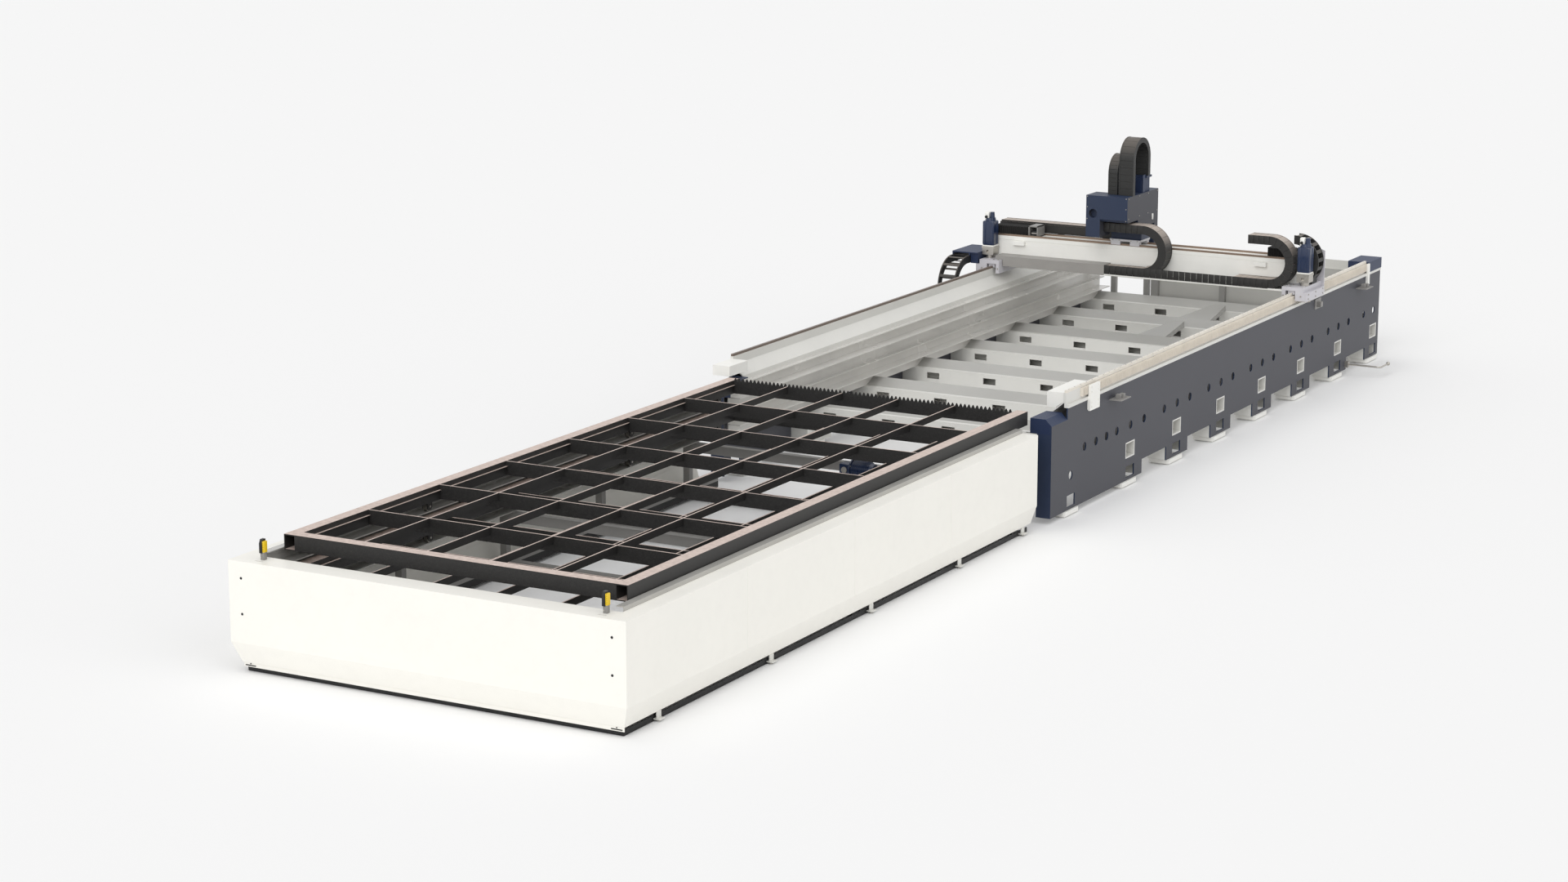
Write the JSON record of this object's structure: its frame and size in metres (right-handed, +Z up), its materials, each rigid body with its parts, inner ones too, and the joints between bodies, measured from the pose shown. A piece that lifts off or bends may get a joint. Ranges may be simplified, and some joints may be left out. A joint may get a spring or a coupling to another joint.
{
  "type": "laser cutting machine",
  "caption": "Sheet metal laser cutting machine: open cutting bed with a travelling gantry and cutting head, and an exchange table with two sliding grid pallets.",
  "frame": {"origin": "on the floor, on the machine's centreline, half way between the exchange table's front and the bed's rear", "axes": "+Z up; +Y from the exchange table towards the cutting bed; +X to the right seen from the exchange table"},
  "size_m": [4.088, 14.89, 2.4619],
  "materials": {
    "skirt_paint": "off-white powder coat",
    "frame_grey": "grey paint",
    "navy_paint": "navy powder coat, fine texture",
    "slate_paint": "slate grey powder coat, fine texture",
    "machine_white": "light paint",
    "bare_steel": "machined steel",
    "dark_steel": "dark hot-rolled steel",
    "lilac_panel": "grey paint, satin",
    "black_plastic": "moulded black plastic",
    "sensor_black": "black plastic with a yellow face",
    "motor_navy": "motor enamel",
    "bellows_black": "coated fabric folds"
  },
  "bodies": {
    "frame": {"table_skirt_front": "skirt_paint", "table_skirt_sides": "skirt_paint", "table_base_rails": "frame_grey", "table_cross_beams": "frame_grey", "table_tracks": "machine_white", "table_drive_motor": "motor_navy", "table_sensor_posts": "sensor_black", "bed_side_right": "slate_paint", "bed_side_left": "slate_paint", "cross_tubes": "machine_white", "rail_beam_right": "machine_white", "rail_beam_left": "machine_white", "guide_rails": "bare_steel", "gear_racks": "bare_steel", "bed_tracks": "machine_white", "hopper_panels": "lilac_panel", "rear_wall": "machine_white", "rail_end_boxes": "machine_white", "end_stops": "machine_white", "limit_sensors": "frame_grey", "bed_feet": "machine_white", "bed_legs": "machine_white", "bed_front_caps": "navy_paint", "rear_corner_box": "navy_paint", "pull_rod": "bare_steel"},
    "gantry": {"gantry_beam": "machine_white", "beam_rails": "bare_steel", "saddle_right": "machine_white", "saddle_left": "machine_white", "drive_motors": "motor_navy", "beam_bellows": "bellows_black", "cross_chain_lower": "black_plastic", "feed_chain": "black_plastic", "end_chain": "black_plastic", "side_chain": "black_plastic", "side_chain_arm": "slate_paint", "rear_trough": "slate_paint", "cable_duct": "machine_white", "motor_gearboxes": "bare_steel"},
    "carriage": {"carriage_housing": "slate_paint", "carriage_slide": "navy_paint", "cross_chain_upper": "black_plastic", "lift_chain": "black_plastic", "lift_drive_box": "navy_paint", "lift_hose_loop": "black_plastic"},
    "chain_bend": {"cross_chain_bend": "black_plastic"},
    "head": {"head_slide": "bare_steel", "cutting_head": "sensor_black"},
    "right_pinion": {"pinion_right": "bare_steel"},
    "left_pinion": {"pinion_left": "bare_steel"},
    "upper_pallet": {"upper_pallet_frame": "dark_steel", "upper_pallet_plates": "dark_steel", "upper_pallet_bars": "dark_steel", "upper_pallet_slat": "dark_steel", "upper_pallet_wheels": "bare_steel"},
    "lower_pallet": {"lower_pallet_frame": "dark_steel", "lower_pallet_plates": "dark_steel", "lower_pallet_bars": "dark_steel", "lower_pallet_slat": "dark_steel", "lower_pallet_wheels": "bare_steel"}
  },
  "joints": [
    {"name": "gantry_travel", "type": "slide", "parent": "frame", "child": "gantry", "axis": [0, 1, 0], "range_m": [-4.65, 1.6]},
    {"name": "right_pinion_turn", "type": "hinge", "parent": "gantry", "child": "right_pinion", "pos_m": [1.7, 5.042, 1.02], "axis": [0, 0, 1], "range_deg": [-4690, 1625]},
    {"name": "left_pinion_turn", "type": "hinge", "parent": "gantry", "child": "left_pinion", "pos_m": [-1.7, 5.042, 1.02], "axis": [0, 0, 1], "range_deg": [-1625, 4690]},
    {"name": "carriage_travel", "type": "slide", "parent": "gantry", "child": "carriage", "axis": [1, 0, 0], "range_m": [-0.78, 1.4], "deforming": ["cross_chain_upper", "cross_chain_lower", "beam_bellows", "cross_chain_bend"]},
    {"name": "chain_roll", "type": "slide", "parent": "gantry", "child": "chain_bend", "axis": [1, 0, 0], "range_m": [-0.4, 0.71], "deforming": ["cross_chain_bend", "cross_chain_upper", "cross_chain_lower"]},
    {"name": "head_lift", "type": "slide", "parent": "carriage", "child": "head", "axis": [0, 0, 1], "range_m": [-0.025, 0.12]},
    {"name": "upper_pallet_shuttle", "type": "slide", "parent": "frame", "child": "upper_pallet", "axis": [0, 1, 0], "range_m": [0, 7.75]},
    {"name": "lower_pallet_shuttle", "type": "slide", "parent": "frame", "child": "lower_pallet", "axis": [0, 1, 0], "range_m": [0, 7.75]}
  ],
  "couplings": [
    {"joint": "right_pinion_turn", "follows": "gantry_travel", "rad_per_m": 17.544},
    {"joint": "left_pinion_turn", "follows": "gantry_travel", "rad_per_m": -17.544},
    {"joint": "chain_roll", "follows": "carriage_travel", "ratio": 0.5}
  ]
}
